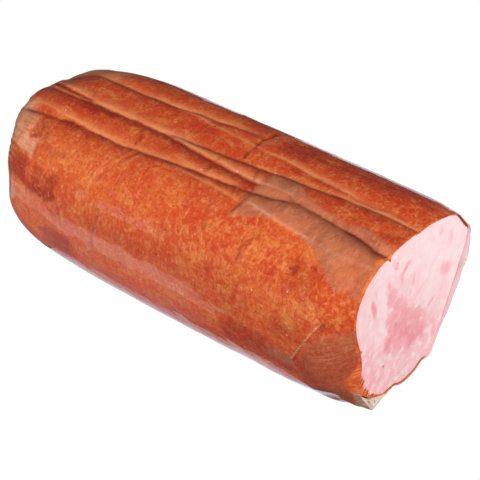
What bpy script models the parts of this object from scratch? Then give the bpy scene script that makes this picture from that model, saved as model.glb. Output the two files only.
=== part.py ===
"""A smoked ham log in its clear casing, cut straight across at one end.

Metres, +Z up. The log lies along X with its cut at +X, and the origin is on the surface under the
middle of its box. Two pieces: the meat, solid up to its flat cut, and the casing, a thin sleeve
closed at the far end, whose edge stands out past the cut on one side and at a lower corner.
Angles go round the log from +Y (0 degrees) over the top (90) to -Y (180) and the underside (270).
"""

import math

import bmesh
import bpy
from mathutils import Vector

MM = 0.001

# The log
LENGTH = 254.7 * MM
HALF_WIDTH = 57.0 * MM
HALF_HEIGHT = 54.3 * MM
SQUARENESS = 2.35
SECTION_LOBES = ((3, 0.049, 30.0),)
FAR_SLIMMING = 0.044
UNDERSIDE_DEPTH = 50.6 * MM
UNDERSIDE_SOFTNESS = 3.0 * MM
REST_LEVEL = 49.6 * MM

# The cut: a circle with lobes, which the log narrows to over its last stretch
CUT_RADIUS = 47.4 * MM
CUT_CENTRE_Y = 0.6 * MM
CUT_CENTRE_Z = 7.0 * MM
CUT_LOBES = ((2, 1.1 * MM, 71.0), (3, 4.3 * MM, 26.6), (4, 1.65 * MM, 37.5), (5, 1.2 * MM, 13.3))
NARROWING_LENGTH = 25.0 * MM

# The closed end
CAP_LENGTH = 60.9 * MM
CAP_SQUARENESS = 2.68
CAP_LOBES = ((1, 0.047, -68.0), (2, 0.161, 45.0), (3, 0.153, 14.0), (4, 0.143, -25.8))
CAP_LEAN_Y = 0.134
CAP_LEAN_Z = 0.140
CAP_SHIFT_Y = 2.2 * MM
CAP_SHIFT_Z = 2.0 * MM
GATHER_COUNT = 11
GATHER_DEPTH = 0.9 * MM

# Pleats pressed into the top: depth, half width, and the way each one runs, as pairs of its
# distance from the cut and its place across the top
PLEATS = (
    (2.3 * MM, 4.6 * MM, ((-0.010, 0.003), (0.022, 0.004), (0.066, -0.001), (0.116, -0.006),
                          (0.160, -0.008), (0.200, -0.014), (0.238, -0.002))),
    (1.5 * MM, 3.8 * MM, ((0.100, 0.016), (0.139, 0.015), (0.178, 0.014), (0.215, 0.011))),
    (1.9 * MM, 4.2 * MM, ((-0.010, -0.023), (0.033, -0.016), (0.062, -0.014), (0.088, -0.022),
                          (0.144, -0.026), (0.192, -0.028), (0.235, -0.029))),
    (1.3 * MM, 4.0 * MM, ((-0.010, 0.012), (0.039, 0.018), (0.070, 0.023), (0.113, 0.030))),
)
PLEAT_FADE = 26.0 * MM

# The casing
CASING_THICKNESS = 0.8 * MM
CLEARANCE = 0.3 * MM
EDGE_PAST_CUT = 0.4 * MM
# Where the edge stands further out: middle and half span in degrees, then how far
LIPS = ((2.0, 72.0, 2.6 * MM), (300.0, 46.0, 1.3 * MM), (229.0, 27.0, 5.0 * MM))
# The lower corner is pinched outwards to a ridge, which dies away from the cut
PINCH_MIDDLE = 229.0
PINCH_HALF_SPAN = 25.0
PINCH_OUT = 6.2 * MM
PINCH_LENGTH = 32.0 * MM

# Mesh: columns round the log, closer together over the top, and rings along it
AROUND = 60
TOP_CROWDING = 0.42
BODY_RINGS = 19
BODY_RING_SPREAD = 1.25
CAP_RINGS = 11

MEAT_COLOUR = (0.87, 0.58, 0.58, 1.0)
CASING_COLOUR = (0.52, 0.12, 0.03, 1.0)


def lobes(angle, terms):
    """Sum of the waves round the log: each has its count, its height and the angle of its crest."""
    return sum(height * math.cos(count * (angle - math.radians(crest)))
               for count, height, crest in terms)


def ridge(angle, middle, half_span):
    """1 at the middle angle, falling straight to 0 at the half span; middle and span in degrees."""
    away = abs((math.degrees(angle) - middle + 180.0) % 360.0 - 180.0)
    return max(0.0, 1.0 - away / half_span)


def hump(angle, middle, half_span):
    """As ridge, but rounded at the top and at its foot."""
    return math.sin(math.pi / 2 * ridge(angle, middle, half_span)) ** 2


def along(route, distance):
    """Sideways place of a route at a distance from the cut, eased between its points."""
    if distance <= route[0][0]:
        return route[0][1]
    for (start, first), (end, second) in zip(route, route[1:]):
        if distance <= end:
            share = (distance - start) / (end - start)
            share = share * share * (3.0 - 2.0 * share)
            return first + (second - first) * share
    return route[-1][1]


def pleat_depth(distance, across):
    """How far the pleats press the top in, at a distance from the cut and a place across it."""
    depth = 0.0
    for deep, half_width, route in PLEATS:
        start = min(1.0, max(0.0, (distance - route[0][0]) / PLEAT_FADE))
        end = min(1.0, max(0.0, (route[-1][0] - distance) / PLEAT_FADE))
        if route[0][0] < 0.0:
            start = 1.0
        off = (across - along(route, distance)) / half_width
        depth += deep * start * end * math.exp(-off * off)
    return depth


def body_radius(angle):
    c = abs(math.cos(angle) / HALF_WIDTH) ** SQUARENESS
    s = abs(math.sin(angle) / HALF_HEIGHT) ** SQUARENESS
    return (c + s) ** (-1.0 / SQUARENESS) * (1.0 + lobes(angle, SECTION_LOBES))


def flatten_underside(z):
    """Rounds the bottom off to the flat that the log rests on."""
    soft = UNDERSIDE_SOFTNESS * math.log1p(math.exp((z + UNDERSIDE_DEPTH) / UNDERSIDE_SOFTNESS))
    return max(soft - UNDERSIDE_DEPTH, -REST_LEVEL)


def cap_length(angle):
    return CAP_LENGTH * (1.0 + lobes(angle, CAP_LOBES))


def side_point(distance, angle):
    """A point of the log's side at a distance from the cut."""
    slim = 1.0 - FAR_SLIMMING * (distance / LENGTH) ** 2
    radius = body_radius(angle) * slim
    y = radius * math.cos(angle)
    z = radius * math.sin(angle)
    share = min(1.0, max(0.0, distance / NARROWING_LENGTH))
    share = math.sin(math.pi / 2 * share)
    cut_radius = CUT_RADIUS + lobes(angle, CUT_LOBES)
    cut_y = CUT_CENTRE_Y + cut_radius * math.cos(angle)
    cut_z = CUT_CENTRE_Z + cut_radius * math.sin(angle)
    y = y * share + cut_y * (1.0 - share)
    z = z * share + cut_z * (1.0 - share)
    if z > 0.0:
        z -= pleat_depth(distance, y) * min(1.0, z / (0.6 * HALF_HEIGHT))
    return Vector((-distance, y, flatten_underside(z)))


def end_point(turn, angle):
    """A point of the closed end: turn goes from 0 at its start to 1 at its middle."""
    back = math.sin(math.pi / 2 * turn)
    shrink = max(0.0, 1.0 - back ** CAP_SQUARENESS) ** (1.0 / CAP_SQUARENESS)
    cap = cap_length(angle)
    distance = LENGTH - cap + cap * back
    slim = 1.0 - FAR_SLIMMING * (distance / LENGTH) ** 2
    gather = GATHER_DEPTH * back ** 3 * shrink * math.cos(GATHER_COUNT * angle)
    radius = body_radius(angle) * slim * shrink + gather
    y = radius * math.cos(angle)
    z = radius * math.sin(angle)
    distance += (CAP_LEAN_Y * y + CAP_LEAN_Z * z) * back ** 2
    y += CAP_SHIFT_Y * (1.0 - shrink)
    z += CAP_SHIFT_Z * (1.0 - shrink)
    if z > 0.0:
        z -= pleat_depth(distance, y) * min(1.0, z / (0.6 * HALF_HEIGHT))
    return Vector((-distance, y, flatten_underside(z)))


def skin_point(ring, angle):
    """A point of the log's skin. Ring 0 is in the plane of the cut, the last one is the end's middle."""
    if ring <= BODY_RINGS:
        share = (ring / BODY_RINGS) ** BODY_RING_SPREAD
        return side_point(share * (LENGTH - cap_length(angle)), angle)
    return end_point((ring - BODY_RINGS) / CAP_RINGS, angle)


def casing_point(ring, angle):
    """The casing lies on the skin, and its edge, ring -1, stands out past the cut."""
    point = skin_point(max(ring, 0), angle)
    pinch = PINCH_OUT * ridge(angle, PINCH_MIDDLE, PINCH_HALF_SPAN)
    pinch *= max(0.0, 1.0 + point.x / PINCH_LENGTH) ** 2
    if ring < 0:
        point.x += EDGE_PAST_CUT + sum(out * hump(angle, middle, half_span)
                                       for middle, half_span, out in LIPS)
    point.y += pinch * math.cos(angle)
    point.z += pinch * math.sin(angle)
    return point


def column_angle(turn):
    """Crowds the columns over the top, where the pleats are."""
    away = (turn - math.pi / 2 + math.pi) % (2 * math.pi) - math.pi
    return math.pi / 2 + away - TOP_CROWDING * math.sin(away)


def shaped_ball(name, rings, place):
    """A ball whose top pole becomes the middle of the cut and whose bottom pole the far end.

    place gives each vertex its point, from its ring, counted from 0 next to the cut, and its angle.
    """
    mesh = bpy.data.meshes.new(name)
    ball = bmesh.new()
    bmesh.ops.create_uvsphere(ball, u_segments=AROUND, v_segments=rings + 1, radius=1.0)
    poles = []
    for vertex in ball.verts:
        slope = math.acos(max(-1.0, min(1.0, vertex.co.z)))
        ring = round(slope / math.pi * (rings + 1)) - 1
        turn = math.atan2(vertex.co.y, vertex.co.x)
        if ring < 0:
            poles.append(vertex)
        vertex.co = place(ring, column_angle(turn))
    return mesh, ball, poles


def face_out(ball):
    ball.normal_update()
    bmesh.ops.recalc_face_normals(ball, faces=ball.faces)


def keep(mesh, ball, material, collection):
    face_out(ball)
    ball.to_mesh(mesh)
    ball.free()
    mesh.materials.append(material)
    mesh.shade_smooth()
    piece = bpy.data.objects.new(mesh.name, mesh)
    collection.objects.link(piece)
    return piece


def make_material(name, colour, roughness):
    material = bpy.data.materials.new(name)
    material.use_nodes = True
    shader = material.node_tree.nodes["Principled BSDF"]
    shader.inputs["Base Color"].default_value = colour
    shader.inputs["Roughness"].default_value = roughness
    shader.inputs["Metallic"].default_value = 0.0
    return material


def log_shift():
    """Moves the log so that its box stands on the origin."""
    points = [casing_point(ring, column_angle(2 * math.pi * column / AROUND))
              for ring in range(-1, BODY_RINGS + CAP_RINGS + 1) for column in range(AROUND)]
    low = Vector([min(p[axis] for p in points) for axis in range(3)])
    high = Vector([max(p[axis] for p in points) for axis in range(3)])
    return Vector((-(low.x + high.x) / 2, -(low.y + high.y) / 2, -low.z))


def make_casing(collection, shift):
    """The sleeve: the skin opened at the cut, with its own thickness inwards."""
    rings = BODY_RINGS + CAP_RINGS + 1
    mesh, ball, poles = shaped_ball(
        "casing", rings, lambda ring, angle: casing_point(ring - 1, angle) + shift)
    bmesh.ops.delete(ball, geom=poles, context="VERTS")
    casing = keep(mesh, ball, make_material("casing", CASING_COLOUR, 0.3), collection)
    sleeve = casing.modifiers.new("thickness", "SOLIDIFY")
    sleeve.thickness = CASING_THICKNESS
    sleeve.offset = -1.0
    sleeve.use_even_offset = True
    return casing


def make_meat(collection, shift):
    """The solid core: the skin drawn in by the casing and its clearance, with a flat cut."""
    rings = BODY_RINGS + CAP_RINGS
    mesh, ball, poles = shaped_ball(
        "meat", rings, lambda ring, angle: skin_point(max(ring, 0), angle) + shift)
    cut_x = shift.x
    for vertex in poles:
        vertex.co = Vector((cut_x, CUT_CENTRE_Y + shift.y, CUT_CENTRE_Z + shift.z))
    face_out(ball)
    inset = CASING_THICKNESS + CLEARANCE
    moves = []
    for vertex in ball.verts:
        if vertex in poles:
            continue
        inwards = -vertex.normal
        if abs(vertex.co.x - cut_x) < CLEARANCE:
            # The rim stays in the plane of the cut, as far from the slanting skin as the rest
            inwards.x = 0.0
            inwards /= inwards.length_squared
        moves.append((vertex, inwards * inset))
    for vertex, move in moves:
        vertex.co += move
    return keep(mesh, ball, make_material("meat", MEAT_COLOUR, 0.45), collection)


def main():
    for old in list(bpy.data.objects):
        bpy.data.objects.remove(old, do_unlink=True)
    collection = bpy.data.collections.new("smoked_ham")
    bpy.context.scene.collection.children.link(collection)
    shift = log_shift()
    make_casing(collection, shift)
    make_meat(collection, shift)


main()
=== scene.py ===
"""The looks of a smoked ham log: smoked skin under its clear casing, and the pink face of the cut.

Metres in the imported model's frame, +Z up, with the cut at +X. A place on the skin is given by its
distance from the cut in millimetres and its angle round the log in degrees, from the far side (0)
over the top (90) to the near side (180) and the underside (270).
"""

import math

import bpy
import numpy as np
from mathutils import Matrix, Vector, noise


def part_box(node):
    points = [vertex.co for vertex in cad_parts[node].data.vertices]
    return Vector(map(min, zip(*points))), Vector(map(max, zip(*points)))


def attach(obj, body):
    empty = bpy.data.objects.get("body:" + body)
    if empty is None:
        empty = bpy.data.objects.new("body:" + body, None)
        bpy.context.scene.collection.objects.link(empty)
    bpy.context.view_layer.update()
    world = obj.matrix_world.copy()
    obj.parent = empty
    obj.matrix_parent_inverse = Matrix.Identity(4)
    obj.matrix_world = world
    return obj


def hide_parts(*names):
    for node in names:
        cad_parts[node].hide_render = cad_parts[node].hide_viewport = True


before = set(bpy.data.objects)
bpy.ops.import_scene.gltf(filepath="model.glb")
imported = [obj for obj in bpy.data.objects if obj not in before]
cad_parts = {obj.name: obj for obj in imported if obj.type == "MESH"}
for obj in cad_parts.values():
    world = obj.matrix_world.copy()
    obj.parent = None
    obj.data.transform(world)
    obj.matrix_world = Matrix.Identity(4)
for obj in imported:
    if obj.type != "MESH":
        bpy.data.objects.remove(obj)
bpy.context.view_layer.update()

MM = 0.001

# The log, with the sizes of its solids
LENGTH = 254.7 * MM
HALF_WIDTH = 57 * MM
HALF_HEIGHT = 54.3 * MM
SQUARENESS = 2.35
SECTION_LOBES = ((3, 0.049, 30),)
FAR_SLIMMING = 0.044
UNDERSIDE_DEPTH = 50.6 * MM
UNDERSIDE_SOFTNESS = 3 * MM
REST_LEVEL = 49.6 * MM
CUT_RADIUS = 47.4 * MM
CUT_CENTRE_Y = 0.6 * MM
CUT_CENTRE_Z = 7 * MM
CUT_LOBES = ((2, 1.1 * MM, 71), (3, 4.3 * MM, 26.6), (4, 1.65 * MM, 37.5), (5, 1.2 * MM, 13.3))
NARROWING_LENGTH = 25 * MM
CAP_LENGTH = 60.9 * MM
CAP_SQUARENESS = 2.68
CAP_LOBES = ((1, 0.047, -68), (2, 0.161, 45), (3, 0.153, 14), (4, 0.143, -25.8))
CAP_LEAN_Y = 0.134
CAP_LEAN_Z = 0.14
CAP_SHIFT_Y = 2.2 * MM
CAP_SHIFT_Z = 2 * MM
TONGUE_LEAN = -0.75 * MM
TONGUE_HALF_SPAN = 12
PINCH_MIDDLE = 229
PINCH_HALF_SPAN = 25
PINCH_OUT = 6.2 * MM
PINCH_LENGTH = 32 * MM
RIM_BLEND = 5
TONGUE_BLEND = 6.4

# How far the film's edge reaches past the cut, and how far the cut's rim stands out of its smooth
# round, torn in at some places: angle, mm
LIP_REACH = (
    (0, 3.3), (3, 3.6), (6, 3.3), (10, 2.65), (13, 2.1), (16, 1.6), (18, 1.5), (20, 1.3), (22, 0.9),
    (25, 0.5), (30, 0.4), (60, 0.4), (120, 0.4), (190, 0.4), (205, 0.4), (213, 0.2), (221, 0.1),
    (222.5, 0.5), (224, 1.3), (226, 3.5), (228, 5.3), (229.5, 5.8), (231, 5.5), (234, 4.6), (237, 3.5),
    (241, 2.7), (245, 1.75), (249, 1), (253, 0.5), (270, 0.4), (288, 0.4), (291, 0.5), (293, 1), (295, 1.4),
    (300, 1.3), (305, 1.1), (310, 1.1), (315, 1.2), (320, 1.5), (325, 1.8), (330, 2.1), (340, 2.6),
    (350, 2.85), (357, 2.7), (360, 3.3),
)
RIM_STANDS = (
    (0, 0.8), (5, 0.8), (10, 1.6), (15, 2.6), (20, 3.4), (22, 3), (25, 2.2), (28, 1.6), (33, 1.1),
    (38, 1.3), (45, 0.9), (52, 0.2), (58, 0), (80, 0), (150, 0), (205, 0), (210, 0.5), (216, 0.9),
    (222, 1.1), (225, 1.5), (229, 2.4), (233, 2), (237, 1.2), (241, 0.8), (246, 0.8), (250, 0.9),
    (255, 0.6), (258, 0.1), (260, -0.3), (262, 0.1), (265, 1), (270, 1.8), (275, 1.7), (280, 1.4),
    (285, 0.6), (288, 0.2), (290, 0.6), (292, 1.4), (295, 1.4), (300, 0.6), (305, 0), (310, -0.3), (315, 0),
    (320, 0.8), (330, 1.8), (345, 2), (352, 1.6), (360, 0.8),
)

# Broad dents in the skin, and swellings (below 0): distance, angle, half lengths (mm, degrees) and
# depth (mm); and one lower down, where the casing sinks in by the underside
DENTS = (
    (242, 72, 18, 20, 2.2), (15, 225, 10, 13, 1.5), (25, 226, 15, 12, 1.3), (212, 52, 28, 13, 0.9),
    (241, 176, 12, 13, 1.2), (248, 78, 8, 10, -1.7), (236, 55, 10, 8, -0.8), (9, 38, 10, 9, -0.8),
    (112, 222, 60, 14, -0.4), (205, 219, 40, 14, 0.4),
)
LOW_DENTS = ((24, 237, 11, 10, 1),)

# How far the film stands off the meat's rim behind the tongue: angle, mm
TONGUE_HOLLOWS = (
    (0, 0), (217, 0), (219, 0), (221, 0), (222.5, 0.3), (224, 1.3), (226, 3), (228, 4.4), (229.5, 5),
    (233, 4), (237, 3.1), (241, 2.1), (245, 1.2), (249, 0.2), (252, 0), (254, 0), (256, 0), (360, 0),
)

# The casing film, and the meshes; the film's inner face and the hidden meat keep a few of the rows
FILM = 0.55 * MM
EDGE_ROUNDING = 0.12 * MM
INNER_DEPTH = 2.4 * MM
HULL_DEPTH = 1.6 * MM
COLUMNS = 304
CROWDED_AT = 125
CROWDING = 0.36
BODY_ROWS = 214
CAP_ROWS = 70
LIP_ROWS = 7
INNER_ROWS = slice(2, None, 12)
HULL_ROWS = slice(4, None, 10)
FACE_RINGS = 64
FACE_CROWDING = 1.35
ROUND_MM = 0.95


# The shape of the log


def lobes(angle, terms):
    return sum(height * np.cos(count * (angle - math.radians(crest)))
               for count, height, crest in terms)


def ridge(angle, middle, half_span):
    away = np.abs((np.degrees(angle) - middle + 180) % 360 - 180)
    return np.clip(1 - away / half_span, 0, 1)


def body_radius(angle):
    c = np.abs(np.cos(angle) / HALF_WIDTH) ** SQUARENESS
    s = np.abs(np.sin(angle) / HALF_HEIGHT) ** SQUARENESS
    return (c + s) ** (-1 / SQUARENESS) * (1 + lobes(angle, SECTION_LOBES))


def flatten_underside(z):
    soft = UNDERSIDE_SOFTNESS * np.log1p(np.exp((z + UNDERSIDE_DEPTH) / UNDERSIDE_SOFTNESS))
    return np.maximum(soft - UNDERSIDE_DEPTH, -REST_LEVEL)


def cap_length(angle):
    return CAP_LENGTH * (1 + lobes(angle, CAP_LOBES))


def points(x, y, z):
    return np.stack(np.broadcast_arrays(x, y, z), axis=-1)


def side_rows(share, angle):
    """Rows of the log's side, from the cut (share 0) to where its closed end starts (1)."""
    distance = share[:, None] * (LENGTH - cap_length(angle))
    radius = body_radius(angle) * (1 - FAR_SLIMMING * (distance / LENGTH) ** 2)
    narrow = np.sin(np.pi / 2 * np.clip(distance / NARROWING_LENGTH, 0, 1))
    cut_radius = CUT_RADIUS + lobes(angle, CUT_LOBES)
    y = radius * np.cos(angle) * narrow + (CUT_CENTRE_Y + cut_radius * np.cos(angle)) * (1 - narrow)
    z = radius * np.sin(angle) * narrow + (CUT_CENTRE_Z + cut_radius * np.sin(angle)) * (1 - narrow)
    pinch = PINCH_OUT * ridge(angle, PINCH_MIDDLE, PINCH_HALF_SPAN)
    pinch = pinch * np.clip(1 - distance / PINCH_LENGTH, 0, 1) ** 2
    y = y + pinch * np.cos(angle)
    z = flatten_underside(z) + pinch * np.sin(angle)
    return points(-distance, y, z)


def end_rows(turn, angle):
    """Rows of the closed end, from its start (turn 0) towards its middle (1)."""
    back = np.sin(np.pi / 2 * turn)[:, None]
    shrink = np.maximum(0, 1 - back ** CAP_SQUARENESS) ** (1 / CAP_SQUARENESS)
    distance = LENGTH - cap_length(angle) * (1 - back)
    radius = body_radius(angle) * (1 - FAR_SLIMMING * (distance / LENGTH) ** 2) * shrink
    y = radius * np.cos(angle)
    z = radius * np.sin(angle)
    distance = distance + (CAP_LEAN_Y * y + CAP_LEAN_Z * z) * back ** 2
    y = y + CAP_SHIFT_Y * (1 - shrink)
    z = z + CAP_SHIFT_Z * (1 - shrink)
    return points(-distance, y, flatten_underside(z))


def column_angles():
    turn = np.linspace(0, 2 * np.pi, COLUMNS, endpoint=False)
    return turn - CROWDING * np.sin(turn - math.radians(CROWDED_AT))


def outward(rows):
    """The normals of a net of rows that go round the log, away from its axis."""
    along = np.gradient(rows, axis=0)
    round_it = np.roll(rows, -1, axis=1) - np.roll(rows, 1, axis=1)
    normal = np.cross(along, round_it)
    normal /= np.maximum(np.linalg.norm(normal, axis=-1, keepdims=True), 1e-12)
    middle = rows.mean(axis=1, keepdims=True)
    facing = np.sign(((rows - middle) * normal).sum())
    return normal * facing


# The chart of the skin, and what is drawn on it


def eased(low, high, value):
    share = np.clip((value - low) / (high - low), 0, 1)
    return share * share * (3 - 2 * share)


def through(route, at):
    """Reads a smooth curve through the route's points at each place."""
    x, y = np.array(sorted(route), dtype=float).T
    slope = np.gradient(y, x)
    i = np.clip(np.searchsorted(x, at) - 1, 0, len(x) - 2)
    step = x[i + 1] - x[i]
    t = np.clip((at - x[i]) / step, 0, 1)
    ahead = step * (slope[i] * t * (1 - t) ** 2 - slope[i + 1] * t * t * (1 - t))
    return y[i] + (y[i + 1] - y[i]) * t * t * (3 - 2 * t) + ahead


class Chart:
    """Places on the skin: distance from the cut in mm and angle round it in degrees."""

    def __init__(self, distance, angle, places):
        self.distance, self.angle, self.places = distance, angle, places

    def speckle(self, size, octaves, seed):
        """A cloudy pattern between about -1 and 1; size in mm."""
        flat = self.places.reshape(-1, 3) / (size * MM) + seed
        values = [noise.fractal(Vector(p), 1, 2, octaves) for p in flat]
        return np.array(values).reshape(self.places.shape[:-1])

    def wandering(self, size, by, seed):
        """The same chart with its places moved about, so that edges drawn on it wander."""
        return Chart(self.distance + by * self.speckle(size, 3, seed),
                     self.angle + by * self.speckle(size, 3, seed + 40), self.places)

    def line(self, route, far, near, fade, across, sharp=1.4):
        """1 on a line, falling off to its far and near sides and fading at its two ends."""
        place, beside = (self.angle, self.distance) if across else (self.distance, self.angle)
        off = (beside - through(route, place)) * (1 if across else ROUND_MM)
        first, last = min(route)[0], max(route)[0]
        ends = eased(first - 0.5 * fade, first + 0.5 * fade, place)
        ends *= 1 - eased(last - 0.5 * fade, last + 0.5 * fade, place)
        width = np.where(off < 0, far, near)
        return ends * np.exp(-np.abs(off / width) ** sharp)

    def patch(self, first, last, low, high, soft=2):
        """1 inside a rounded patch between two distances and two angles."""
        inside = 1
        for start, end, place in ((first, last, self.distance), (low, high, self.angle)):
            inside = inside * eased(start - soft, start + soft, place)
            inside = inside * (1 - eased(end - soft, end + soft, place))
        return inside

    def patched(self, layer, patches):
        """A layer with at least so much of it in some patches."""
        for *span, soft, strength in patches:
            layer = np.maximum(layer, strength * self.patch(*span, soft))
        return layer

    def dented(self, pressed, dents):
        """How far a place is pressed in, with some dents added."""
        for far, middle, half_along, half_round, depth in dents:
            off = np.hypot((self.distance - far) / half_along, (self.angle - middle) / half_round)
            pressed = pressed + depth * eased(1.4, 0, off)
        return pressed


# Pleats and creases: how deep they press in (mm), how strong the painted highlight along them and the
# painted shade in them are, their widths on the far and the near side (mm), over how long they fade
# (mm), and their way as (distance, angle)
PLEATS = (
    # the pleat high on the top
    (0.9, 0, 0.8, 4.2, 1.8, 16, (223, 70.2), (205, 72.7), (190, 73), (175, 72.4), (165, 71.8), (158, 70.2)),
    (0.7, 0, 0.4, 4.2, 1.8, 16, (165, 71.8), (158, 70.2), (150, 68.5), (138, 68.7), (127, 65.7),
     (112, 64.7)),
    (0, 0.9, 0, 3, 0.5, 16, (228, 66.5), (220, 69.4), (210, 71.8), (195, 73), (180, 72.4), (170, 71.6),
     (162, 70), (150, 68.4), (140, 67.6), (130, 66), (112, 65)),
    (-0.2, 0.85, 0, 1.3, 0.9, 10, (161, 73.6), (155, 72.2), (148, 72.8), (140, 73.9), (130, 74.2),
     (120, 74.9), (110, 75.6), (100, 76), (90, 76.4), (80, 76.9), (70, 78.1), (60, 78.9)),
    (0.5, 0, 0.5, 3.4, 1.6, 14, (84, 77.6), (70, 78.8), (60, 79.6), (50, 80.2), (40, 81.3), (30, 81.3),
     (20, 79.8), (8, 78.8)),
    (0, 1, 0, 2.6, 1, 18, (86, 76.4), (78, 77), (70, 78.2), (60, 79), (50, 79.6), (38, 80.2)),
    # the main pleat, near the cut
    (0.9, 0, 1, 4.4, 1.6, 12, (152, 96.8), (140, 96), (134, 95.8), (128, 95), (120, 94.5), (113, 94),
     (105, 92.7), (98, 92.1), (90, 91.5), (84, 90), (80, 89.6), (70, 89), (63, 88.2), (55, 87.3),
     (48, 86.5), (43, 85.5), (35, 84.9), (25, 84.2), (15, 83.8), (5, 83.2), (-9, 82.8)),
    (0, 1.1, 0, 3.2, 0.7, 18, (52, 85.6), (45, 85.2), (35, 84.6), (25, 84), (15, 83.4), (5, 82.6),
     (-9, 82)),
    (0, 0.5, 0, 2.4, 0.7, 14, (100, 91.4), (84, 89.6), (65, 87.8), (52, 86)),
    # its wide far part, with a thin ridge inside it
    (-0.3, 1.1, 0, 4.2, 0.6, 10, (246, 77.5), (240, 84.4), (236, 88), (231, 91.3), (225, 93.9), (218, 95.7),
     (210, 97.1), (204, 98.3), (195, 98.6), (187, 98.6), (180, 98.6), (172, 98.3), (165, 97.9), (158, 97.7),
     (152, 97.9), (145, 98.3), (138, 99.4), (130, 100.2), (120, 101.2), (110, 102.2), (100, 103),
     (92, 103.6), (85, 103.2), (77, 102), (66, 101.2)),
    (0.8, 0, 1, 1.4, 0.9, 10, (246, 79.8), (241, 87), (236, 91.2), (230, 94.3), (224, 96.1), (217, 97.3),
     (209, 97.7), (203, 98.4)),
    (-0.3, 0.9, 0, 0.7, 0.6, 8, (240, 94.3), (234, 97.1), (228, 98.8), (220, 100), (213, 99.8),
     (207, 98.8)),
    (1.2, 0, 1, 2, 3.6, 14, (240, 97), (232, 98.7), (225, 100.3), (215, 100.7), (208, 99.9), (200, 99.3),
     (190, 99.3), (180, 99.1), (170, 98.7), (160, 98.4), (150, 98.9), (145, 99.7), (135, 100.9),
     (125, 102.2), (115, 103.2), (100, 104), (86, 104.2)),
    # the pleat on the near shoulder
    (0, 0.9, 0, 2.8, 0.6, 12, (236, 116), (222, 116.6), (212, 117.4), (205, 118), (195, 118.8),
     (188, 119.2), (180, 119.2), (170, 119.2), (163, 118.8), (155, 118), (148, 117.4), (140, 116.2),
     (133, 115.3), (125, 114.2), (115, 113.6), (96, 112.4)),
    (0.8, 0, 1, 4.2, 1.7, 12, (242, 122.8), (230, 122.8), (222, 122.4), (212, 121.8), (207, 121.1),
     (203, 120.2), (197, 120.4), (190, 120.4), (185, 120.2), (175, 120.2), (165, 119.8), (158, 118.7),
     (150, 118), (142, 117.2), (135, 116.3), (125, 115.5), (115, 114.7), (105, 114.1), (97, 113.4),
     (90, 112.8), (85, 112), (80, 111.4), (75, 110.4), (70, 108.6), (65, 106.5), (60, 105)),
    (1.7, 0, 0.8, 4, 3, 12, (66, 103.8), (60, 104.6), (50, 105.7), (40, 106.9), (30, 107.7), (22, 108.6),
     (15, 110.7), (8, 113.6), (2, 115.4), (-9, 117.2)),
    (-0.3, 1, 0, 1.9, 1.1, 16, (84, 119.1), (70, 120.8), (55, 122.5), (45, 123.1), (38, 123.6)),
    (-0.2, 0.5, 0, 1.6, 1, 14, (50, 122.8), (38, 123.6), (24, 124.6), (12, 125.2), (-9, 126)),
    (0, 0.5, 0, 1.2, 0.8, 10, (128, 118.6), (110, 119), (95, 119.5), (86, 120.5)),
    (0, 0, 1.3, 4, 3, 18, (34, 107.4), (22, 108.8), (15, 110.9), (8, 113.7), (2, 115.5), (-9, 117.3)),
    # the faint one by the far edge
    (0.3, 0, 0.6, 2.6, 1.4, 12, (82, 62.2), (65, 61.2), (50, 59.7), (30, 58.2)),
)

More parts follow.
